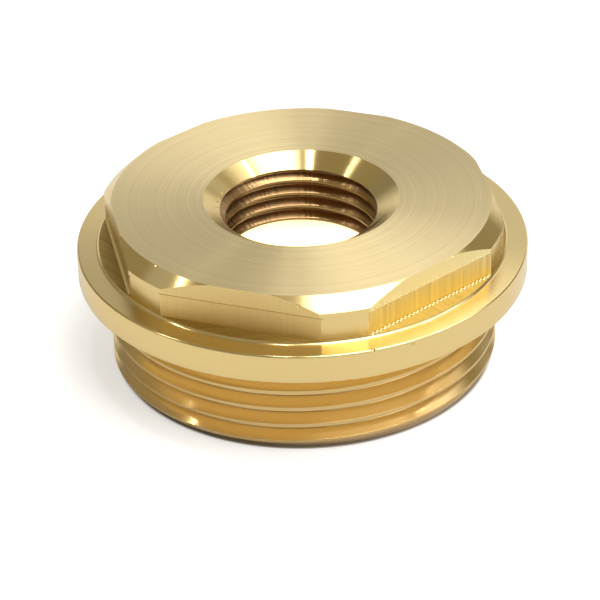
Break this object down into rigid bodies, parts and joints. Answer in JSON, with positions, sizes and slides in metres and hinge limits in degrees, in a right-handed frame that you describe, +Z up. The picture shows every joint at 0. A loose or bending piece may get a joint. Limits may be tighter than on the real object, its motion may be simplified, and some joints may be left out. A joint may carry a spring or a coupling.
{
  "type": "reducing plug",
  "caption": "One-piece brass reducing plug: hexagon head, collar, male pipe thread outside and a smaller female pipe thread through the head, hollow below.",
  "frame": {"origin": "on the thread axis, at the lower end of the male thread", "axes": "+Z up the axis towards the hexagon head; two of the milled flats face +X and -X, and two corners of the head point to +Y and -Y"},
  "size_m": [0.0556, 0.0554, 0.0213],
  "materials": {
    "turned_brass": "bright turned and milled brass"
  },
  "bodies": {
    "root": {"plug_body": "turned_brass"}
  },
  "joints": []
}
